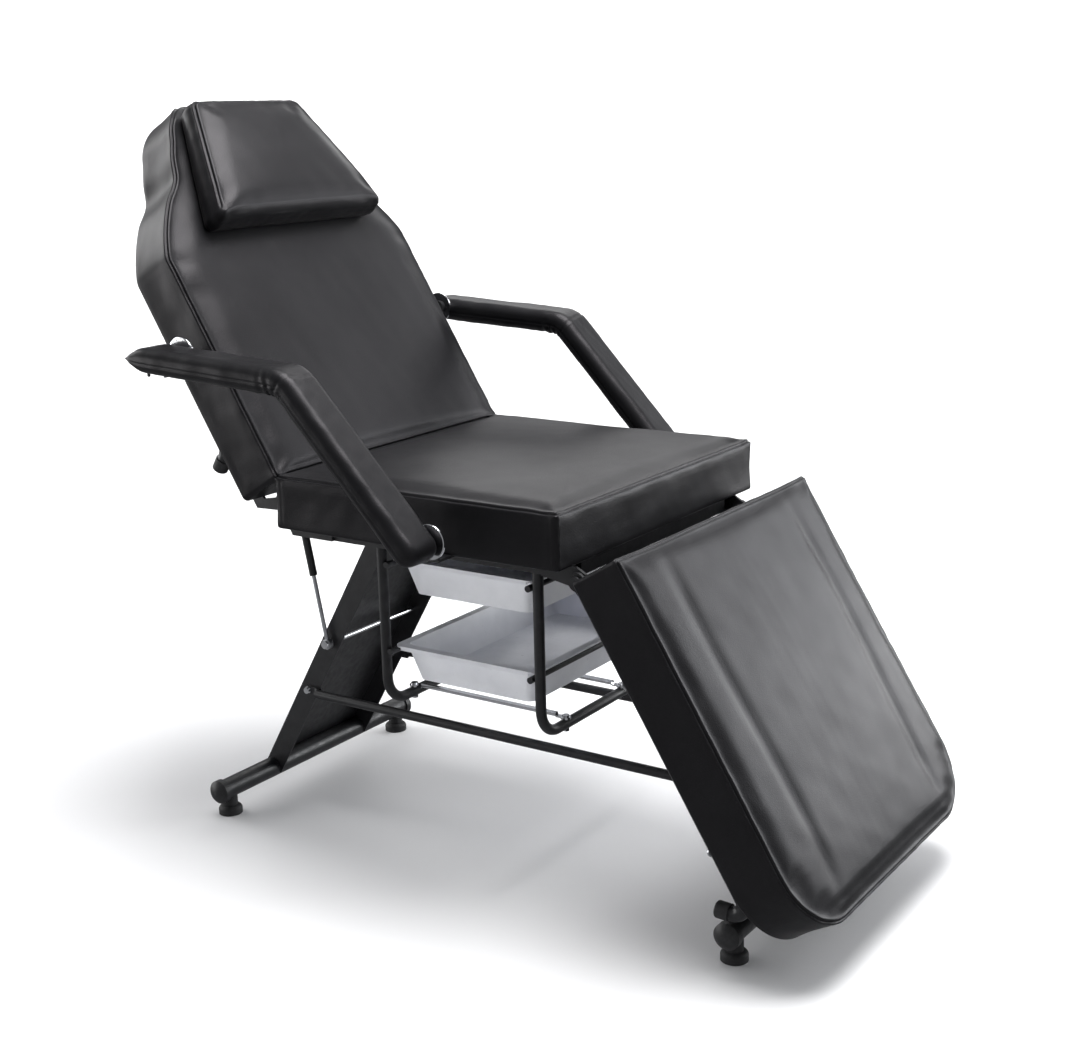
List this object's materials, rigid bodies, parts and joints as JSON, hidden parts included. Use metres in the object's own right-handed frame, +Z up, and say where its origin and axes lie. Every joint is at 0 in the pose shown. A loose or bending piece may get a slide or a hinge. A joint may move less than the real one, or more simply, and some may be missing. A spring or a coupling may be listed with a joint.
{
  "type": "reclining tattoo chair",
  "caption": "Reclining treatment chair with padded seat, backrest with head pillow, folding footrest, armrests linked to the backrest, steel A-frame base and pull-out trays.",
  "frame": {"origin": "on the floor under the middle of the chair's outer box, with the feet's undersides at height zero", "axes": "+X from the head end towards the foot end, +Y to the sitter's left, +Z up"},
  "size_m": [1.3084, 0.792, 1.1767],
  "materials": {
    "black_upholstery": "satin",
    "plywood": "matte",
    "zinc_steel": "satin",
    "chrome": "polished",
    "black_rubber": "matte",
    "black_plastic": "satin",
    "tray_plastic": "satin",
    "black_steel": "satin"
  },
  "bodies": {
    "base": {"backrest_hinge_pins": "black_steel", "foot_bar_caps": "black_plastic", "footrest_hinge_pins": "black_steel", "front_crossbar": "black_steel", "front_foot_bar": "black_steel", "front_hinge_lugs": "black_steel", "front_hoop": "black_steel", "front_leg_left": "black_steel", "front_leg_right": "black_steel", "rear_column": "black_steel", "rear_crossbar": "black_steel", "rear_foot_bar": "black_steel", "rear_hinge_lugs": "black_steel", "rear_hoop": "black_steel", "rubber_feet": "black_rubber", "seat_arm_brackets": "black_steel", "seat_arm_discs": "chrome", "seat_board": "plywood", "seat_board_screws": "zinc_steel", "seat_cushion": "black_upholstery", "seat_rail_left": "black_steel", "seat_rail_right": "black_steel", "stretcher_bolts": "chrome", "stretcher_left": "black_steel", "stretcher_right": "black_steel", "strut_lower_bolt": "chrome", "tie_rod_screws": "chrome", "tray_rails": "black_steel", "tray_tie_rods": "chrome"},
    "backrest": {"backrest_cushion": "black_upholstery", "backrest_board": "plywood", "backrest_board_screws": "zinc_steel", "backrest_tube_right": "black_steel", "backrest_tube_left": "black_steel", "backrest_tube_caps": "black_rubber", "backrest_braces": "black_steel", "backrest_hinge_plates": "black_steel", "backrest_arm_brackets": "black_steel", "backrest_arm_discs": "chrome", "arm_pivot_bolts": "chrome", "strut_lug": "black_steel"},
    "footrest": {"footrest_cushion": "black_upholstery", "footrest_board": "plywood", "footrest_board_screws": "zinc_steel", "footrest_tube_right": "black_steel", "footrest_tube_left": "black_steel", "footrest_tube_caps": "black_rubber", "footrest_braces": "black_steel", "footrest_hinge_plates": "black_steel"},
    "right_armrest": {"armrest_bar_right": "black_steel", "armrest_pad_right": "black_upholstery"},
    "left_armrest": {"armrest_bar_left": "black_steel", "armrest_pad_left": "black_upholstery"},
    "strut_lower": {"strut_rod": "zinc_steel"},
    "strut_upper": {"strut_tube": "black_steel", "strut_upper_bolt": "chrome"},
    "upper_drawer": {"upper_tray": "tray_plastic"},
    "lower_drawer": {"lower_tray": "tray_plastic"},
    "pillow": {"head_pillow": "black_upholstery"}
  },
  "joints": [
    {"name": "backrest_recline", "type": "hinge", "parent": "base", "child": "backrest", "pos_m": [-0.262, 0, 0.5726], "axis": [0, -1, 0], "range_deg": [0, 58.5]},
    {"name": "footrest_lift", "type": "hinge", "parent": "base", "child": "footrest", "pos_m": [0.278, 0, 0.518], "axis": [0, -1, 0], "range_deg": [0, 58.4]},
    {"name": "right_armrest_swing", "type": "hinge", "parent": "backrest", "child": "right_armrest", "pos_m": [-0.38052, -0.361, 0.80505], "axis": [0, -1, 0], "range_deg": [-34.26, 0]},
    {"name": "left_armrest_swing", "type": "hinge", "parent": "backrest", "child": "left_armrest", "pos_m": [-0.38052, 0.361, 0.80505], "axis": [0, -1, 0], "range_deg": [-34.26, 0]},
    {"name": "strut_swing", "type": "hinge", "parent": "base", "child": "strut_lower", "pos_m": [-0.29821, -0.123, 0.298], "axis": [0, -1, 0], "range_deg": [-8.65, 0]},
    {"name": "strut_stroke", "type": "slide", "parent": "strut_lower", "child": "strut_upper", "axis": [-0.1926, 0, 0.9813], "range_m": [-0.08072, 0]},
    {"name": "upper_tray_pull", "type": "slide", "parent": "base", "child": "upper_drawer", "axis": [0, -1, 0], "range_m": [0, 0.25]},
    {"name": "lower_tray_pull", "type": "slide", "parent": "base", "child": "lower_drawer", "axis": [0, -1, 0], "range_m": [0, 0.25]},
    {"name": "pillow_shift", "type": "slide", "parent": "backrest", "child": "pillow", "axis": [-0.5411, 0, 0.841], "range_m": [-0.04, 0.03]}
  ],
  "couplings": [
    {"joint": "right_armrest_swing", "follows": "backrest_recline", "ratio": -0.58399},
    {"joint": "left_armrest_swing", "follows": "backrest_recline", "ratio": -0.58399},
    {"joint": "strut_swing", "follows": "backrest_recline", "ratio": -0.14615},
    {"joint": "strut_stroke", "follows": "backrest_recline", "m_per_rad": -0.078768}
  ]
}
